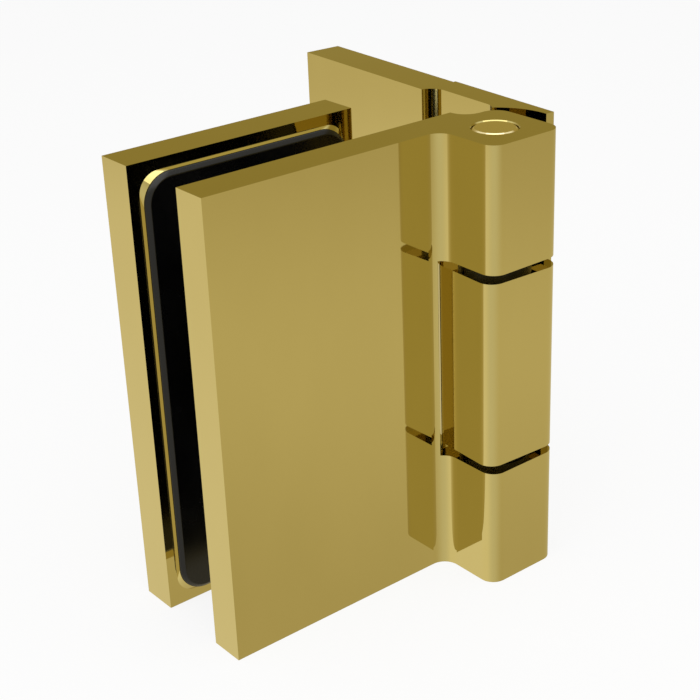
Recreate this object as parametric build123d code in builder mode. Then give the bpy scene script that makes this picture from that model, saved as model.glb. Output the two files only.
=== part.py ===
"""A wall-to-glass door hinge: two plates clamp the door's glass, and three knuckles turn on one pin.

Millimetres, +Z up along the pin. The origin is on the wall face, at the centre of the wall screw holes,
and the wall lies on the +X side. The door leaf runs towards -X and opens towards -Y. As modelled it
stands a few degrees open.
"""

import os
from math import cos, radians, sin, sqrt

from build123d import *

# ---- Driving dimensions ------------------------------------------------------------------------

HEIGHT = 90.0            # both plates, the cover and the stack of knuckles
AJAR = 2.8               # how far the leaf stands open, in degrees
PIN_TO_WALL = 14.4       # pin axis to the wall face
PIN_TO_HOLES = 47.2      # pin axis to the centre of the wall screw holes
PIN_TO_EDGE = 60.0       # pin axis to the free edge of the leaf

KNUCKLE = 17.2           # side of the square knuckles
FRONT_ROUND = 3.0        # their front corners
BACK_ROUND = 3.5         # their back corners
LEAF_COVE = 3.3          # cove from the leaf plate to the knuckles on it
MIDDLE_KNUCKLE = 37.6    # height of the bracket's knuckle
KNUCKLE_GAP = 1.7        # between the bracket's knuckle and each of the leaf's
NOTCH_SIDE = 10.15       # pin axis to the side of the leaf's notch for the middle knuckle
SCOOP_RADIUS = 12.5      # room in the bracket for the leaf's knuckles

LEAF_FRONT = 5.15        # leaf plate's front face, behind the pin axis
LEAF_THICKNESS = 7.4
WEB_END = 0.5            # where the leaf plate ends behind the pin
WEB_COVE = 3.9           # cove between that end and the back of the knuckles

CLAMP_FRONT = 28.0       # clamp plate's inner face, behind the pin axis
CLAMP_THICKNESS = 8.0
CLAMP_WIDTH = 49.3

PAD_MARGIN = 2.1         # plate's edge to the foot of its raised pad
PAD_ROUND = 4.0          # corners at the foot of the pad
PAD_HEIGHT = 0.7
PAD_DRAFT = 0.25         # how far the pad's sides lean in
PAD_TOP_ROUND = 5.6      # corners at the top of the pad
GASKET_THICKNESS = 1.0
GASKET_BEVEL = 0.65      # across the gasket's face
GASKET_BEVEL_DEPTH = 0.85

BRACKET_END = 0.0        # bracket's near end, level with the pin axis
RECESS = 8.6             # recessed face of the bracket, beside the pin
RECESS_COVE = 3.55       # cove from the middle knuckle into the recess
RECESS_START = 12.15
RECESS_STOP = 25.0
STEP_COVE = 3.7          # cove from the recess up to the step
STEP_FACE = 5.8          # face of the step and of the cover
FLANGE_THICKNESS = 5.4
COVER_END = 67.95        # pin axis to the far end of the cover
COVER_WALL = 2.0
COVER_OFF_WALL = 0.55    # the cover's edge stands clear of the wall
COVER_PLAY = 0.15        # between the cover and the flange inside it

WALL_HOLE_RADIUS = 2.75
WALL_HOLE_SINK = 5.2
WALL_HOLE_ACROSS = 18.0  # spacing along the wall
WALL_HOLE_UP = 60.0      # spacing along the height

PIN_RADIUS = 4.25
PIN_SHORT = 0.05         # each end of the pin lies this far inside the knuckle
PIN_CHAMFER = 0.3
PIN_HOLE_RADIUS = 4.35
PIN_HOLE_CHAMFER = 0.2
BUSH_RADIUS = 6.0
BUSH_BORE_RADIUS = 4.3
BUSH_LENGTH = 12.0
BUSH_FLANGE_RADIUS = 6.9
BUSH_FLANGE = 1.5

CLAMP_SCREW_IN = 24.65   # clamp screws, from the free edge of the leaf
CLAMP_SCREW_SPACING = 50.0
CLAMP_SCREW_RADIUS = 3.0
CLAMP_SCREW_LENGTH = 28.0
CLAMP_HEAD_RADIUS = 5.8
CLAMP_HEAD_SUNK = 0.3
CLAMP_HOLE_RADIUS = 3.3
CLAMP_SINK_RADIUS = 6.2  # countersinks of the clamp plate
SLEEVE_RADIUS = 7.0
SLEEVE_BORE_RADIUS = 3.25
SLEEVE_PLAY = 0.05
SOCKET_FLAT = 4.0        # across the flats of the clamp screws' sockets
SOCKET_DEPTH = 2.6

PIN_SCREW_RADIUS = 2.0   # grub screws that hold the pin
PIN_SCREW_HEIGHT = 33.0  # above and below the middle of the hinge
SMALL_SCREW_SUNK = 0.3   # grub screws and the cover screw
PIN_SCREW_FLAT = 2.0
COVER_SCREW_RADIUS = 1.5
COVER_SCREW_LENGTH = 6.0
COVER_SCREW_OFF_WALL = 3.2
COVER_SCREW_FLAT = 1.5
SMALL_SOCKET_DEPTH = 1.4
COVER_SCREW_PLAY = 0.1   # the cover screw in the cover's hole
THREAD_PLAY = 0.03       # a screw's plain thread in its hole
RUN_OUT = 1.0            # how far a hole runs past what it makes room for

# ---- Worked out ----------------------------------------------------------------------------------

PIN_AXIS = Vector(-PIN_TO_WALL, -PIN_TO_HOLES, 0)
LEAF_X = Vector(cos(radians(AJAR)), sin(radians(AJAR)), 0)    # from the leaf's free edge to the pin
LEAF_Y = Vector(-sin(radians(AJAR)), cos(radians(AJAR)), 0)   # from the leaf's front to its back

HALF = KNUCKLE / 2
NOTCH = MIDDLE_KNUCKLE + 2 * KNUCKLE_GAP
OUTER_KNUCKLE = (HEIGHT - NOTCH) / 2
LEAF_BACK = LEAF_FRONT + LEAF_THICKNESS
CLAMP_BACK = CLAMP_FRONT + CLAMP_THICKNESS
CLAMP_CENTRE = CLAMP_WIDTH / 2 - PIN_TO_EDGE
SCREW_X = CLAMP_SCREW_IN - PIN_TO_EDGE
PAD_WIDTH = CLAMP_WIDTH - 2 * PAD_MARGIN
PAD_TALL = HEIGHT - 2 * PAD_MARGIN
GASKET_WIDTH = PAD_WIDTH - 2 * PAD_DRAFT
GASKET_TALL = PAD_TALL - 2 * PAD_DRAFT
LEAF_PAD = LEAF_BACK + PAD_HEIGHT
CLAMP_PAD = CLAMP_FRONT - PAD_HEIGHT
GLASS_FRONT = LEAF_PAD + GASKET_THICKNESS
GLASS_BACK = CLAMP_PAD - GASKET_THICKNESS
SCREW_TIP = CLAMP_BACK - CLAMP_HEAD_SUNK - CLAMP_SCREW_LENGTH
STEP_END = RECESS_STOP + sqrt(STEP_COVE**2 - (STEP_COVE - RECESS + STEP_FACE) ** 2)
FLANGE_END = COVER_END - COVER_WALL - COVER_PLAY
FLANGE_TALL = HEIGHT - 2 * (COVER_WALL + COVER_PLAY)


def bracket_level(height):
    """Level plane of the wall bracket, centred on the pin, at a height above the hinge's middle."""
    return Plane(origin=PIN_AXIS + Vector(0, 0, height))


def leaf_level(height):
    """Level plane of the door leaf, centred on the pin and turned with the leaf."""
    return Plane(origin=PIN_AXIS + Vector(0, 0, height), x_dir=LEAF_X)


def leaf_upright(along, behind, height=0.0):
    """Upright plane that faces the back of the leaf, at a distance along it and behind the pin."""
    origin = PIN_AXIS + LEAF_X * along + LEAF_Y * behind + Vector(0, 0, height)
    return Plane(origin=origin, x_dir=LEAF_X, z_dir=LEAF_Y)


def corner(sketch, x, y):
    """The sketch's vertex nearest to a point."""
    return sketch.vertices().sort_by_distance((x, y, 0))[0]


def finish(part, name):
    """Label a piece and write it."""
    part.label = name
    export_step(part, f"parts/{name}.step")


os.makedirs("parts", exist_ok=True)

# ---- Door leaf: front plate with the upper and lower knuckles ------------------------------------

with BuildPart() as door_leaf:
    with BuildSketch(leaf_level(-HEIGHT / 2)) as leaf_outline:
        Rectangle(KNUCKLE, KNUCKLE)
        with Locations((-PIN_TO_EDGE, LEAF_FRONT)):
            Rectangle(PIN_TO_EDGE + WEB_END, LEAF_THICKNESS, align=(Align.MIN, Align.MIN))
        fillet(corner(leaf_outline, -HALF, LEAF_FRONT), LEAF_COVE)
        fillet(corner(leaf_outline, -HALF, -HALF), FRONT_ROUND)
        fillet(corner(leaf_outline, HALF, -HALF), FRONT_ROUND)
        fillet(corner(leaf_outline, HALF, HALF), BACK_ROUND)
        fillet(corner(leaf_outline, WEB_END, HALF), WEB_COVE)
    extrude(amount=HEIGHT)
    # The notch for the middle knuckle runs right through the plate.
    with BuildSketch(leaf_level(-NOTCH / 2)):
        with Locations((-NOTCH_SIDE, -HALF)):
            Rectangle(NOTCH_SIDE + HALF, HALF + LEAF_BACK, align=(Align.MIN, Align.MIN))
    extrude(amount=NOTCH, mode=Mode.SUBTRACT)
    with BuildSketch(leaf_level(-HEIGHT / 2)):
        Circle(PIN_HOLE_RADIUS)
    extrude(amount=HEIGHT, mode=Mode.SUBTRACT)
    for end in (-HEIGHT / 2, HEIGHT / 2):
        rims = door_leaf.edges().filter_by(GeomType.CIRCLE)
        chamfer(rims.sort_by_distance(leaf_level(end).origin)[0], PIN_HOLE_CHAMFER)
    # The pad that carries the outer gasket.
    with BuildSketch(leaf_upright(CLAMP_CENTRE, LEAF_BACK)):
        RectangleRounded(PAD_WIDTH, PAD_TALL, PAD_ROUND)
    with BuildSketch(leaf_upright(CLAMP_CENTRE, LEAF_PAD)):
        RectangleRounded(GASKET_WIDTH, GASKET_TALL, PAD_TOP_ROUND)
    loft()
    # Blind threaded holes for the clamp screws.
    with BuildSketch(leaf_upright(SCREW_X, LEAF_PAD)):
        with GridLocations(0, CLAMP_SCREW_SPACING, 1, 2):
            Circle(CLAMP_SCREW_RADIUS + THREAD_PLAY)
    extrude(amount=SCREW_TIP - RUN_OUT - LEAF_PAD, mode=Mode.SUBTRACT)
    # Threaded holes for the grub screws, from the back of each knuckle to the pin.
    with BuildSketch(leaf_upright(0, HALF)):
        with GridLocations(0, 2 * PIN_SCREW_HEIGHT, 1, 2):
            Circle(PIN_SCREW_RADIUS + THREAD_PLAY)
    extrude(amount=-HALF, mode=Mode.SUBTRACT)
finish(door_leaf.part, "door_leaf")

# ---- Clamp plate: the loose plate behind the glass -----------------------------------------------

with BuildPart() as clamp_plate:
    with BuildSketch(leaf_upright(CLAMP_CENTRE, CLAMP_FRONT)):
        Rectangle(CLAMP_WIDTH, HEIGHT)
    extrude(amount=CLAMP_THICKNESS)
    with BuildSketch(leaf_upright(CLAMP_CENTRE, CLAMP_FRONT)):
        RectangleRounded(PAD_WIDTH, PAD_TALL, PAD_ROUND)
    with BuildSketch(leaf_upright(CLAMP_CENTRE, CLAMP_PAD)):
        RectangleRounded(GASKET_WIDTH, GASKET_TALL, PAD_TOP_ROUND)
    loft()
    with Locations(leaf_upright(SCREW_X, CLAMP_BACK)):
        with GridLocations(0, CLAMP_SCREW_SPACING, 1, 2):
            CounterSinkHole(
                radius=CLAMP_HOLE_RADIUS,
                counter_sink_radius=CLAMP_SINK_RADIUS,
                depth=CLAMP_THICKNESS + PAD_HEIGHT + RUN_OUT,
                counter_sink_angle=90,
            )
finish(clamp_plate.part, "clamp_plate")

# ---- Gaskets: a bevelled rubber sheet on each pad ------------------------------------------------


def gasket(seat, toward_glass):
    """Gasket on a pad: seat is the pad's place, toward_glass is 1 or -1 along the upright plane."""
    with BuildPart() as sheet:
        with BuildSketch(leaf_upright(CLAMP_CENTRE, seat)):
            RectangleRounded(GASKET_WIDTH, GASKET_TALL, PAD_TOP_ROUND)
        extrude(amount=toward_glass * GASKET_THICKNESS)
        glass_side = sheet.faces().sort_by_distance(
            leaf_upright(CLAMP_CENTRE, seat + 2 * toward_glass * GASKET_THICKNESS).origin
        )[0]
        chamfer(glass_side.edges(), GASKET_BEVEL_DEPTH, GASKET_BEVEL, reference=glass_side)
        with BuildSketch(leaf_upright(SCREW_X, seat)):
            with GridLocations(0, CLAMP_SCREW_SPACING, 1, 2):
                Circle(CLAMP_HOLE_RADIUS)
        extrude(amount=toward_glass * GASKET_THICKNESS, mode=Mode.SUBTRACT)
    return sheet.part


finish(gasket(LEAF_PAD, 1), "outer_gasket")
finish(gasket(CLAMP_PAD, -1), "inner_gasket")

# ---- Clamp screws and the sleeves that line the glass holes --------------------------------------

with BuildPart(leaf_upright(SCREW_X, CLAMP_BACK - CLAMP_HEAD_SUNK)) as clamp_screws:
    with GridLocations(0, CLAMP_SCREW_SPACING, 1, 2):
        Cylinder(
            CLAMP_SCREW_RADIUS,
            CLAMP_SCREW_LENGTH,
            align=(Align.CENTER, Align.CENTER, Align.MAX),
        )
        Cone(
            CLAMP_SCREW_RADIUS,
            CLAMP_HEAD_RADIUS,
            CLAMP_HEAD_RADIUS - CLAMP_SCREW_RADIUS,
            align=(Align.CENTER, Align.CENTER, Align.MAX),
        )
    with BuildSketch(leaf_upright(SCREW_X, CLAMP_BACK - CLAMP_HEAD_SUNK)):
        with GridLocations(0, CLAMP_SCREW_SPACING, 1, 2):
            RegularPolygon(SOCKET_FLAT / 2, 6, major_radius=False)
    extrude(amount=-SOCKET_DEPTH, mode=Mode.SUBTRACT)
finish(clamp_screws.part, "clamp_screws")

for name, side in (("upper_glass_sleeve", 1), ("lower_glass_sleeve", -1)):
    with BuildPart() as glass_sleeve:
        with BuildSketch(leaf_upright(SCREW_X, GLASS_FRONT, side * CLAMP_SCREW_SPACING / 2)):
            Circle(SLEEVE_RADIUS)
            Circle(SLEEVE_BORE_RADIUS, mode=Mode.SUBTRACT)
        extrude(amount=GLASS_BACK - GLASS_FRONT - SLEEVE_PLAY)
    finish(glass_sleeve.part, name)

# ---- Wall bracket: base flange, the part beside the pin, and the middle knuckle -----------------

with BuildPart() as wall_bracket:
    with BuildSketch(bracket_level(-HEIGHT / 2)):
        with Locations((PIN_TO_WALL, BRACKET_END)):
            Rectangle(PIN_TO_WALL - STEP_FACE, STEP_END, align=(Align.MAX, Align.MIN))
        # The recess is cut between its two coves.
        with BuildLine():
            Line((0, HALF), (RECESS - RECESS_COVE, HALF))
            near_cove = CenterArc((RECESS - RECESS_COVE, RECESS_START), RECESS_COVE, -90, 90)
            face = Line(near_cove @ 1, (RECESS, RECESS_STOP))
            step_corner = (STEP_FACE, STEP_END)
            far_cove = RadiusArc(face @ 1, step_corner, -STEP_COVE)
            Polyline(step_corner, (0, STEP_END), (0, HALF))
        make_face(mode=Mode.SUBTRACT)
    extrude(amount=HEIGHT)
    # Room for the leaf's upper and lower knuckles.
    for foot in (-HEIGHT / 2, MIDDLE_KNUCKLE / 2):
        with BuildSketch(bracket_level(foot)):
            Circle(SCOOP_RADIUS)
        extrude(amount=(HEIGHT - MIDDLE_KNUCKLE) / 2, mode=Mode.SUBTRACT)
    with BuildSketch(bracket_level(-MIDDLE_KNUCKLE / 2)) as knuckle_outline:
        Rectangle(KNUCKLE, KNUCKLE)
        fillet(corner(knuckle_outline, -HALF, -HALF), FRONT_ROUND)
        fillet(corner(knuckle_outline, HALF, -HALF), FRONT_ROUND)
        fillet(corner(knuckle_outline, -HALF, HALF), BACK_ROUND)
    extrude(amount=MIDDLE_KNUCKLE)
    with BuildSketch(bracket_level(-MIDDLE_KNUCKLE / 2)):
        Circle(BUSH_RADIUS)
    extrude(amount=MIDDLE_KNUCKLE, mode=Mode.SUBTRACT)
    # The flange that the cover hides.
    with BuildSketch(bracket_level(-FLANGE_TALL / 2)):
        with Locations((PIN_TO_WALL, STEP_END)):
            Rectangle(FLANGE_THICKNESS, FLANGE_END - STEP_END, align=(Align.MAX, Align.MIN))
    extrude(amount=FLANGE_TALL)
    with Locations(Plane(origin=(-FLANGE_THICKNESS, 0, 0), x_dir=(0, 1, 0), z_dir=(-1, 0, 0))):
        with GridLocations(WALL_HOLE_ACROSS, WALL_HOLE_UP, 2, 2):
            CounterSinkHole(
                radius=WALL_HOLE_RADIUS,
                counter_sink_radius=WALL_HOLE_SINK,
                depth=FLANGE_THICKNESS,
                counter_sink_angle=90,
            )
    with BuildSketch(Plane.XY.offset(-FLANGE_TALL / 2)):
        with Locations((-COVER_SCREW_OFF_WALL, 0)):
            Circle(COVER_SCREW_RADIUS + THREAD_PLAY)
    extrude(amount=COVER_SCREW_LENGTH, mode=Mode.SUBTRACT)
finish(wall_bracket.part, "wall_bracket")

# ---- Wall cover: a shallow cap over the flange and its screws ------------------------------------

with BuildPart() as wall_cover:
    with BuildSketch(bracket_level(-HEIGHT / 2)):
        with Locations((STEP_FACE, STEP_END)):
            Rectangle(
                PIN_TO_WALL - COVER_OFF_WALL - STEP_FACE,
                COVER_END - STEP_END,
                align=(Align.MIN, Align.MIN),
            )
    extrude(amount=HEIGHT)
    with BuildSketch(bracket_level(-HEIGHT / 2 + COVER_WALL)):
        with Locations((STEP_FACE + COVER_WALL, STEP_END)):
            Rectangle(PIN_TO_WALL, COVER_END - COVER_WALL - STEP_END, align=(Align.MIN, Align.MIN))
    extrude(amount=HEIGHT - 2 * COVER_WALL, mode=Mode.SUBTRACT)
    with BuildSketch(Plane.XY.offset(-HEIGHT / 2)):
        with Locations((-COVER_SCREW_OFF_WALL, 0)):
            Circle(COVER_SCREW_RADIUS + COVER_SCREW_PLAY)
    extrude(amount=COVER_WALL, mode=Mode.SUBTRACT)
finish(wall_cover.part, "wall_cover")

with BuildPart(Plane.XY.offset(-HEIGHT / 2 + SMALL_SCREW_SUNK)) as cover_screw:
    with Locations((-COVER_SCREW_OFF_WALL, 0)):
        Cylinder(
            COVER_SCREW_RADIUS,
            COVER_SCREW_LENGTH,
            align=(Align.CENTER, Align.CENTER, Align.MIN),
        )
    with BuildSketch(Plane.XY.offset(-HEIGHT / 2 + SMALL_SCREW_SUNK)):
        with Locations((-COVER_SCREW_OFF_WALL, 0)):
            RegularPolygon(COVER_SCREW_FLAT / 2, 6, major_radius=False)
    extrude(amount=SMALL_SOCKET_DEPTH, mode=Mode.SUBTRACT)
finish(cover_screw.part, "cover_screw")

# ---- Pin, its grub screws and its bushes ---------------------------------------------------------

with BuildPart() as hinge_pin:
    with BuildSketch(leaf_level(-HEIGHT / 2 + PIN_SHORT)):
        Circle(PIN_RADIUS)
    extrude(amount=HEIGHT - 2 * PIN_SHORT)
    chamfer(hinge_pin.edges().filter_by(GeomType.CIRCLE), PIN_CHAMFER)
finish(hinge_pin.part, "hinge_pin")

with BuildPart() as pin_screws:
    with BuildSketch(leaf_upright(0, HALF - SMALL_SCREW_SUNK)):
        with GridLocations(0, 2 * PIN_SCREW_HEIGHT, 1, 2):
            Circle(PIN_SCREW_RADIUS)
    extrude(amount=PIN_RADIUS + THREAD_PLAY - HALF + SMALL_SCREW_SUNK)
    with BuildSketch(leaf_upright(0, HALF - SMALL_SCREW_SUNK)):
        with GridLocations(0, 2 * PIN_SCREW_HEIGHT, 1, 2):
            RegularPolygon(PIN_SCREW_FLAT / 2, 6, major_radius=False)
    extrude(amount=-SMALL_SOCKET_DEPTH, mode=Mode.SUBTRACT)
finish(pin_screws.part, "pin_screws")

for name, side in (("upper_bush", 1), ("lower_bush", -1)):
    with BuildPart() as bush:
        with BuildSketch(bracket_level(side * MIDDLE_KNUCKLE / 2)):
            Circle(BUSH_FLANGE_RADIUS)
        extrude(amount=side * BUSH_FLANGE)
        with BuildSketch(bracket_level(side * MIDDLE_KNUCKLE / 2)):
            Circle(BUSH_RADIUS)
        extrude(amount=-side * BUSH_LENGTH)
        with BuildSketch(bracket_level(side * (MIDDLE_KNUCKLE / 2 + BUSH_FLANGE))):
            Circle(BUSH_BORE_RADIUS)
        extrude(amount=-side * (BUSH_FLANGE + BUSH_LENGTH), mode=Mode.SUBTRACT)
    finish(bush.part, name)
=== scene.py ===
"""The looks of a wall-to-glass door hinge: mirror-polished brass plates and knuckles, black rubber
gaskets, nylon sleeves, acetal bushes and socket screws. Metres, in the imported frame."""

from math import cos, pi, radians, sin

import bmesh
import bpy
from mathutils import Matrix, Vector


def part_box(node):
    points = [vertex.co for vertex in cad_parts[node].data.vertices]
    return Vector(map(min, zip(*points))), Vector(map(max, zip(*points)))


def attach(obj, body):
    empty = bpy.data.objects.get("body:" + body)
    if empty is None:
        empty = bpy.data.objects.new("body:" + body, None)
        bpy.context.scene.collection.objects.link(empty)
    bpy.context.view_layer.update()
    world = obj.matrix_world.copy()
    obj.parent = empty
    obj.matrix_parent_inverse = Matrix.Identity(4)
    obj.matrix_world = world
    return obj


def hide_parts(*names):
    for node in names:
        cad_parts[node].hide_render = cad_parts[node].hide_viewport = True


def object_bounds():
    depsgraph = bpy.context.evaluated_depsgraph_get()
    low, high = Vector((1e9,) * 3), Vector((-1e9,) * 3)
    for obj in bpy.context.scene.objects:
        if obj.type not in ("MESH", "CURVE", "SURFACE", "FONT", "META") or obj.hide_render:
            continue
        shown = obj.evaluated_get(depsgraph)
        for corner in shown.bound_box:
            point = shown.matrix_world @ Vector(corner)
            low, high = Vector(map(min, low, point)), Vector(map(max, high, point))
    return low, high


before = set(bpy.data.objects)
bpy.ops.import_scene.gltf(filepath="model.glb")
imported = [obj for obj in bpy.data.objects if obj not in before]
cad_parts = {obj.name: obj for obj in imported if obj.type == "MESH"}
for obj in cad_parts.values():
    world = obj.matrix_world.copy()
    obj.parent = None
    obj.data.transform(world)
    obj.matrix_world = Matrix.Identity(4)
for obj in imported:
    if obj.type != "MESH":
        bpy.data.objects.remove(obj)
cad_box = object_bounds()

MM = 0.001

# ---- Places taken from the frame -----------------------------------------------------------------

FLOOR = cad_box[0].z
PIN_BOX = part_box("hinge_pin")
PIN_AXIS = (PIN_BOX[0] + PIN_BOX[1]) / 2

# The leaf stands a little open, and the hairlines on it follow its turn.
LEAF_TURN = radians(2.8)
WALL_TURN = 0.0

# ---- Node helpers --------------------------------------------------------------------------------


def srgb(code):
    """Linear colour with alpha from an sRGB hex value such as C8B270."""
    values = [int(code[i:i + 2], 16) / 255 for i in (0, 2, 4)]
    return [v / 12.92 if v <= 0.04045 else ((v + 0.055) / 1.055) ** 2.4 for v in values] + [1.0]


def add(tree, kind, settings=None, inputs=None, **properties):
    """Add one node. Settings are socket values, inputs are linked sockets, properties are the node's own."""
    node = tree.nodes.new("ShaderNode" + kind)
    for name, value in properties.items():
        setattr(node, name, value)
    for name, value in (settings or {}).items():
        node.inputs[name].default_value = value
    for name, socket in (inputs or {}).items():
        tree.links.new(socket, node.inputs[name])
    return node


def new_material(name):
    """An empty node material and its tree."""
    material = bpy.data.materials.new(name)
    material.use_nodes = True
    material.node_tree.nodes.clear()
    return material, material.node_tree


def close_material(material, shader):
    """Link the shader to the material's output."""
    add(material.node_tree, "OutputMaterial", inputs={"Surface": shader.outputs[0]})
    return material


def stretched(tree, turn, scale, centre=(0, 0, 0)):
    """Object coordinates about a centre, turned about Z, with a scale per metre along each turned axis."""
    place = add(tree, "TexCoord")
    away = add(tree, "VectorMath", {1: centre}, {0: place.outputs["Object"]}, operation="SUBTRACT")
    level = add(tree, "Mapping", {"Rotation": (0, 0, -turn)}, {"Vector": away.outputs[0]})
    return add(tree, "Mapping", {"Scale": scale}, {"Vector": level.outputs[0]}).outputs[0]


# ---- Finishes ------------------------------------------------------------------------------------

# Noise is mostly between these values, which are spread over a finish's own range.
NOISE = {"From Min": 0.3, "From Max": 0.7}

BRASS_DEEP, BRASS_PALE = "C8B978", "CABB7A"
BAR_DEEP, BAR_PALE = "E9D8A2", "EEDDA8"
STEEL_DEEP, STEEL_PALE = "A9A9A6", "B5B5B3"
HAIRLINE = 0.4 * MM
HAIRLINE_LENGTH = 30 * MM
HAZE = 12 * MM
LATHE_RING = 0.25 * MM
STEEL_GRAIN = 0.2 * MM
CLOUD = 9 * MM
TOOL_MARK = 0.02 * MM        # the deepest that any tool mark is


def polished_brass(name, turn):
    """Cast brass, ground flat, buffed to a mirror and lacquered: an olive gold that shows the room almost
    sharply, and a shade deeper where it shows itself. The buffing wheel leaves hairlines along the height,
    drawn 0.4 mm apart because the real ones are too fine to show, and the lacquer hazes a little in
    patches."""
    material, tree = new_material(name)
    along_height = stretched(tree, turn, (1 / HAIRLINE, 1 / HAIRLINE, 1 / HAIRLINE_LENGTH))
    hair = add(tree, "TexNoise", {"Scale": 1.0, "Detail": 3.0, "Roughness": 0.6}, {"Vector": along_height})
    haze = add(tree, "TexNoise", {"Scale": 1 / HAZE, "Detail": 2.0},
               {"Vector": stretched(tree, turn, (1, 1, 0.5))})
    tone = add(tree, "MapRange", NOISE, {"Value": haze.outputs[0]})
    colour = add(tree, "MixRGB", {"Color1": srgb(BRASS_DEEP), "Color2": srgb(BRASS_PALE)},
                 {"Fac": tone.outputs[0]})
    gloss = add(tree, "MapRange", {**NOISE, "To Min": 0.025, "To Max": 0.05}, {"Value": haze.outputs[0]})
    bump = add(tree, "Bump", {"Strength": 0.02, "Distance": TOOL_MARK}, {"Height": hair.outputs[0]})
    shader = add(tree, "BsdfPrincipled", {"Metallic": 1.0},
                 {"Base Color": colour.outputs[0], "Roughness": gloss.outputs[0], "Normal": bump.outputs[0]})
    return close_material(material, shader)


def turned_brass(name, centre):
    """Brass bar, turned and then polished: a paler gold than the cast pieces, with the lathe's rings left
    faintly on the end faces. They are drawn 0.25 mm apart, a little coarser than real ones, to show."""
    material, tree = new_material(name)
    away = stretched(tree, 0, (1, 1, 0), centre)
    distance = add(tree, "VectorMath", inputs={0: away}, operation="LENGTH")
    rings = add(tree, "TexNoise", {"Scale": 1 / LATHE_RING, "Detail": 2.0},
                {"W": distance.outputs["Value"]}, noise_dimensions="1D")
    tone = add(tree, "MapRange", NOISE, {"Value": rings.outputs[0]})
    colour = add(tree, "MixRGB", {"Color1": srgb(BAR_DEEP), "Color2": srgb(BAR_PALE)},
                 {"Fac": tone.outputs[0]})
    gloss = add(tree, "MapRange", {**NOISE, "To Min": 0.06, "To Max": 0.1}, {"Value": rings.outputs[0]})
    bump = add(tree, "Bump", {"Strength": 0.05, "Distance": TOOL_MARK}, {"Height": rings.outputs[0]})
    shader = add(tree, "BsdfPrincipled", {"Metallic": 1.0},
                 {"Base Color": colour.outputs[0], "Roughness": gloss.outputs[0], "Normal": bump.outputs[0]})
    return close_material(material, shader)


def moulded(name, deep, pale, grain, roughness, bump_depth, **constants):
    """A moulded polymer: a mottle between two close colours, and a fine grain of a real width that
    breaks up the gloss. Constants are set on the shader itself."""
    material, tree = new_material(name)
    place = add(tree, "TexCoord").outputs["Object"]
    skin = add(tree, "TexNoise", {"Scale": 1 / grain, "Detail": 2.0}, {"Vector": place})
    cloud = add(tree, "TexNoise", {"Scale": 1 / CLOUD, "Detail": 3.0}, {"Vector": place})
    tone = add(tree, "MapRange", NOISE, {"Value": cloud.outputs[0]})
    colour = add(tree, "MixRGB", {"Color1": srgb(deep), "Color2": srgb(pale)}, {"Fac": tone.outputs[0]})
    gloss = add(tree, "MapRange", {**NOISE, "To Min": roughness - 0.03, "To Max": roughness + 0.05},
                {"Value": cloud.outputs[0]})
    bump = add(tree, "Bump", {"Strength": 0.25, "Distance": bump_depth}, {"Height": skin.outputs[0]})
    shader = add(tree, "BsdfPrincipled", constants,
                 {"Base Color": colour.outputs[0], "Roughness": gloss.outputs[0], "Normal": bump.outputs[0]})
    return close_material(material, shader)


def stainless_steel():
    """Stainless screws, headed and turned: a cool light grey, bright but not a mirror, with a fine grain
    from the tool."""
    material, tree = new_material("stainless_steel")
    place = add(tree, "TexCoord").outputs["Object"]
    grain = add(tree, "TexNoise", {"Scale": 1 / STEEL_GRAIN, "Detail": 2.0}, {"Vector": place})
    tone = add(tree, "MapRange", NOISE, {"Value": grain.outputs[0]})
    colour = add(tree, "MixRGB", {"Color1": srgb(STEEL_DEEP), "Color2": srgb(STEEL_PALE)},
                 {"Fac": tone.outputs[0]})
    gloss = add(tree, "MapRange", {**NOISE, "To Min": 0.2, "To Max": 0.3}, {"Value": grain.outputs[0]})
    bump = add(tree, "Bump", {"Strength": 0.1, "Distance": TOOL_MARK}, {"Height": grain.outputs[0]})
    shader = add(tree, "BsdfPrincipled", {"Metallic": 1.0},
                 {"Base Color": colour.outputs[0], "Roughness": gloss.outputs[0], "Normal": bump.outputs[0]})
    return close_material(material, shader)


for imported in list(bpy.data.materials):
    imported.name = "packed_" + imported.name

leaf_brass = polished_brass("polished_brass_leaf", LEAF_TURN)
wall_brass = polished_brass("polished_brass_wall", WALL_TURN)
pin_brass = turned_brass("turned_brass", PIN_AXIS)

# EPDM sheet, moulded: a soft black whose skin is a little cloudy, with a weak shine along its edges.
rubber = moulded("epdm_rubber", "040404", "070707", grain=0.35 * MM, roughness=0.24, bump_depth=0.01 * MM,
                 **{"Specular IOR Level": 0.4})
# Acetal, moulded and self-lubricating: a dense black with a waxy shine.
acetal = moulded("black_acetal", "080808", "0C0C0C", grain=0.3 * MM, roughness=0.3, bump_depth=0.01 * MM,
                 **{"Specular IOR Level": 0.4})
# Nylon, moulded: a milky white that light enters a little way.
nylon = moulded("white_nylon", "E4E2DA", "ECEAE4", grain=0.4 * MM, roughness=0.4, bump_depth=0.01 * MM, **{
    "Subsurface Weight": 0.2,
    "Subsurface Radius": (1.0, 1.0, 1.0),
    "Subsurface Scale": 0.8 * MM,
})
steel = stainless_steel()

NODE_FINISH = {
    "door_leaf": leaf_brass,
    "clamp_plate": leaf_brass,
    "wall_bracket": wall_brass,
    "wall_cover": wall_brass,
    "hinge_pin": pin_brass,
}
SLOT_FINISH = {
    "black_rubber": rubber,
    "black_acetal": acetal,
    "white_nylon": nylon,
    "steel_screw": steel,
}

for name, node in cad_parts.items():
    slots = node.data.materials
    slots[0] = NODE_FINISH.get(name) or SLOT_FINISH[slots[0].name.removeprefix("packed_")]

# ---- Gaskets -------------------------------------------------------------------------------------

WELD = 0.001 * MM            # corners closer than this are one
FLAT = radians(0.5)          # faces closer in angle than this are one
SHARP = radians(25)          # edges that turn more than this are real edges
RIM_SOFTNESS = 0.2 * MM
RIM_STEPS = 3


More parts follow.
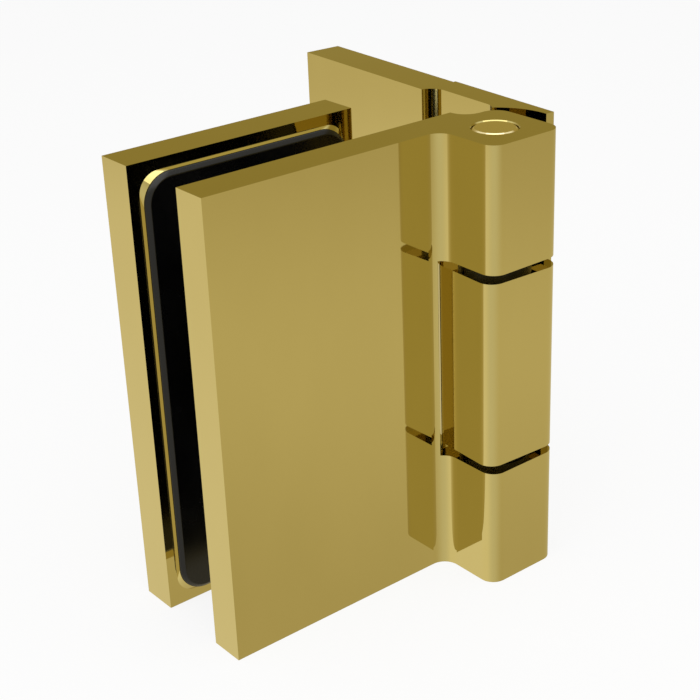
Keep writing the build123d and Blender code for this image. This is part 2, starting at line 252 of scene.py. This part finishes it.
def soft_gasket(node_name):
    """A rubber gasket in place of the plain solid: the moulded sheet's rim is rounded off."""
    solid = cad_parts[node_name]
    shape = bmesh.new()
    shape.from_mesh(solid.data)
    bmesh.ops.remove_doubles(shape, verts=shape.verts, dist=WELD)
    bmesh.ops.dissolve_limit(shape, angle_limit=FLAT, verts=shape.verts, edges=shape.edges)
    rim = [e for e in shape.edges if len(e.link_faces) == 2 and e.calc_face_angle() > SHARP
           and e.calc_length() > 2 * RIM_SOFTNESS]
    bmesh.ops.bevel(shape, geom=rim, offset=RIM_SOFTNESS, offset_type="OFFSET", affect="EDGES",
                    segments=RIM_STEPS, profile=0.5, clamp_overlap=True, material=-1)
    mesh = bpy.data.meshes.new("soft_" + node_name)
    shape.to_mesh(mesh)
    shape.free()
    mesh.shade_smooth()
    gasket = bpy.data.objects.new("soft_" + node_name, mesh)
    bpy.context.scene.collection.objects.link(gasket)
    # The flat faces stay flat to the eye, and only the rounded rim turns the light.
    even = gasket.modifiers.new("even_shading", "WEIGHTED_NORMAL")
    even.mode = "FACE_AREA"
    even.weight = 100
    mesh.materials.append(rubber)
    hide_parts(node_name)
    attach(gasket, "door_side")


soft_gasket("outer_gasket")
soft_gasket("inner_gasket")

# ---- Pin -----------------------------------------------------------------------------------------

PIN_RADIUS = (PIN_BOX[1].x - PIN_BOX[0].x) / 2
PIN_TOP = cad_box[1].z
PIN_FOOT = cad_box[0].z
EDGE_ACROSS = 0.45 * MM      # the broken edge of each end face, across the face
EDGE_DOWN = 0.32 * MM        # and down the side
PIN_STEPS = 96


def turned_pin():
    """The hinge pin as it comes from the lathe: flush with the knuckles, each end with a broken edge."""
    shape = bmesh.new()
    profile = (
        (0, PIN_TOP),
        (PIN_RADIUS - EDGE_ACROSS, PIN_TOP),
        (PIN_RADIUS, PIN_TOP - EDGE_DOWN),
        (PIN_RADIUS, PIN_FOOT + EDGE_DOWN),
        (PIN_RADIUS - EDGE_ACROSS, PIN_FOOT),
        (0, PIN_FOOT),
    )
    points = [shape.verts.new((PIN_AXIS.x + across, PIN_AXIS.y, height)) for across, height in profile]
    line = [shape.edges.new(pair) for pair in zip(points, points[1:])]
    bmesh.ops.spin(shape, geom=points + line, cent=(PIN_AXIS.x, PIN_AXIS.y, 0), axis=(0, 0, 1),
                   dvec=(0, 0, 0), angle=2 * pi, steps=PIN_STEPS, use_merge=True, use_duplicate=False)
    bmesh.ops.remove_doubles(shape, verts=shape.verts, dist=WELD)
    bmesh.ops.recalc_face_normals(shape, faces=shape.faces)
    mesh = bpy.data.meshes.new("turned_pin")
    shape.to_mesh(mesh)
    shape.free()
    mesh.shade_smooth()
    mesh.set_sharp_from_angle(angle=SHARP)
    pin = bpy.data.objects.new("turned_pin", mesh)
    bpy.context.scene.collection.objects.link(pin)
    mesh.materials.append(pin_brass)
    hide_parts("hinge_pin")
    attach(pin, "door_side")


turned_pin()

# ---- Studio --------------------------------------------------------------------------------------

FLOOR_RADIUS = 3.0
FLOOR_GLOW = 0.87        # how much of the floor is plain white to the camera; the rest takes the shadow


def studio_floor():
    """A plain white floor, level with the hinge's lower end."""
    bpy.ops.mesh.primitive_circle_add(vertices=64, radius=FLOOR_RADIUS, fill_type="NGON",
                                      location=(0, 0, FLOOR))
    floor = bpy.context.object
    floor.name = "studio_floor"
    material, tree = new_material("pale_floor")
    matt = add(tree, "BsdfDiffuse", {"Color": srgb("F8F8F8")})
    white = add(tree, "Emission", {"Color": srgb("FFFFFF"), "Strength": 1.0})
    path = add(tree, "LightPath")
    share = add(tree, "Math", {1: FLOOR_GLOW}, {0: path.outputs["Is Camera Ray"]}, operation="MULTIPLY")
    shader = add(tree, "MixShader", inputs={0: share.outputs[0], 1: matt.outputs[0], 2: white.outputs[0]})
    floor.data.materials.append(close_material(material, shader))
    # The brass shows the studio all round, also below the floor's level.
    floor.visible_glossy = False


KEY_DIRECTION = Vector((-0.27, -0.31, 0.91))
KEY_DISTANCE = 0.6
KEY_SIDE = 0.8
KEY_RADIANCE = 1.2


def key_softbox():
    """A large square lamp overhead, in front and to the left."""
    lamp = bpy.data.lights.new("key_softbox", "AREA")
    lamp.size = KEY_SIDE
    lamp.energy = KEY_RADIANCE * pi * KEY_SIDE * KEY_SIDE
    holder = bpy.data.objects.new("key_softbox", lamp)
    bpy.context.scene.collection.objects.link(holder)
    toward = KEY_DIRECTION.normalized()
    holder.location = toward * KEY_DISTANCE + PIN_AXIS
    holder.rotation_euler = toward.to_track_quat("Z", "Y").to_euler()


# What the brass sees from the ground up to overhead, as (height of the direction, colour).
LEFT_WALLS = (
    (-0.52, (1.0, 0.94, 0.80)),
    (-0.34, (0.94, 0.87, 0.71)),
    (-0.25, (0.77, 0.69, 0.49)),
    (0.35, (0.82, 0.76, 0.60)),
    (0.75, (1.0, 1.0, 0.95)),
)
RIGHT_WALLS = (
    (-0.58, (0.635, 0.56, 0.365)),
    (-0.42, (0.755, 0.68, 0.475)),
    (-0.26, (0.605, 0.53, 0.34)),
    (0.05, (0.51, 0.44, 0.22)),
    (0.30, (0.375, 0.30, 0.085)),
    (0.50, (0.39, 0.31, 0.10)),
    (0.75, (1.0, 1.0, 0.95)),
)
FRONT_WALL = (0.82, 0.79, 0.69, 1)
TURNS_TO_FRONT = {"From Min": 0.0, "From Max": -0.7}
TURNS_TO_RIGHT = {"From Min": -0.7, "From Max": 0.46}
AMBIENT = (0.55, 0.55, 0.55, 1)      # what lights the matt pieces
WHITE = (1, 1, 1, 1)


def walls(tree, height, stops):
    """A band of colour round the studio, by the height of the direction."""
    ramp = add(tree, "ValToRGB", inputs={"Fac": height})
    ramp.color_ramp.interpolation = "EASE"
    elements = ramp.color_ramp.elements
    while len(elements) < len(stops):
        elements.new(0.5)
    for element, (level, colour) in zip(elements, stops):
        element.position = (level + 1) / 2
        element.color = (*colour, 1)
    return ramp.outputs["Color"]


def build_world():
    """White behind the hinge. The brass sees a studio that is white to the left, paler grey in front and
    warm and dimmer to the right."""
    world = bpy.data.worlds.new("studio")
    bpy.context.scene.world = world
    world.use_nodes = True
    tree = world.node_tree
    tree.nodes.clear()
    place = add(tree, "TexCoord")
    way = add(tree, "SeparateXYZ", inputs={0: place.outputs["Generated"]})
    height = add(tree, "MapRange", {"From Min": -1.0, "From Max": 1.0}, {"Value": way.outputs["Z"]})
    to_front = add(tree, "MapRange", TURNS_TO_FRONT, {"Value": way.outputs["Y"]},
                   interpolation_type="SMOOTHSTEP")
    to_right = add(tree, "MapRange", TURNS_TO_RIGHT, {"Value": way.outputs["X"]},
                   interpolation_type="SMOOTHSTEP")
    left = walls(tree, height.outputs[0], LEFT_WALLS)
    front = add(tree, "MixRGB", {"Color2": FRONT_WALL}, {"Fac": to_front.outputs[0], "Color1": left})
    right = walls(tree, height.outputs[0], RIGHT_WALLS)
    studio = add(tree, "MixRGB",
                 inputs={"Fac": to_right.outputs[0], "Color1": front.outputs[0], "Color2": right})
    path = add(tree, "LightPath")
    lit = add(tree, "MixRGB", {"Color1": AMBIENT},
              {"Fac": path.outputs["Is Glossy Ray"], "Color2": studio.outputs[0]})
    seen = add(tree, "Math", operation="MAXIMUM",
               inputs={0: path.outputs["Is Camera Ray"], 1: path.outputs["Is Transmission Ray"]})
    all_round = add(tree, "MixRGB", {"Color2": WHITE}, {"Fac": seen.outputs[0], "Color1": lit.outputs[0]})
    background = add(tree, "Background", {"Strength": 1.0}, {"Color": all_round.outputs[0]})
    add(tree, "OutputWorld", inputs={"Surface": background.outputs[0]})


studio_floor()
build_world()
key_softbox()

# ---- Camera --------------------------------------------------------------------------------------

VIEW_AZIMUTH = -37.024       # degrees
VIEW_ELEVATION = 25.020
VIEW_ROLL = -1.500
VIEW_DISTANCE = 288.82 * MM
VIEW_TARGET = Vector((-34.51, -43.41, 5.46)) * MM
LENS = 80.073
SHIFT_ACROSS = -0.07


def place_camera():
    """The camera at the viewing angle, a little above the hinge and in front of its left."""
    camera_data = bpy.data.cameras.new("camera")
    camera_data.lens = LENS
    camera_data.shift_x = SHIFT_ACROSS
    camera_data.clip_start = 0.01
    camera = bpy.data.objects.new("camera", camera_data)
    bpy.context.scene.collection.objects.link(camera)
    turn, rise = radians(VIEW_AZIMUTH), radians(VIEW_ELEVATION)
    back = Vector((sin(turn) * cos(rise), -cos(turn) * cos(rise), sin(rise)))
    aimed = (-back).to_track_quat("-Z", "Y").to_matrix().to_4x4()
    roll = Matrix.Rotation(radians(VIEW_ROLL), 4, "Z")
    camera.matrix_world = Matrix.Translation(VIEW_TARGET + back * VIEW_DISTANCE) @ aimed @ roll
    bpy.context.scene.camera = camera


place_camera()
bpy.context.scene.view_settings.view_transform = "Standard"
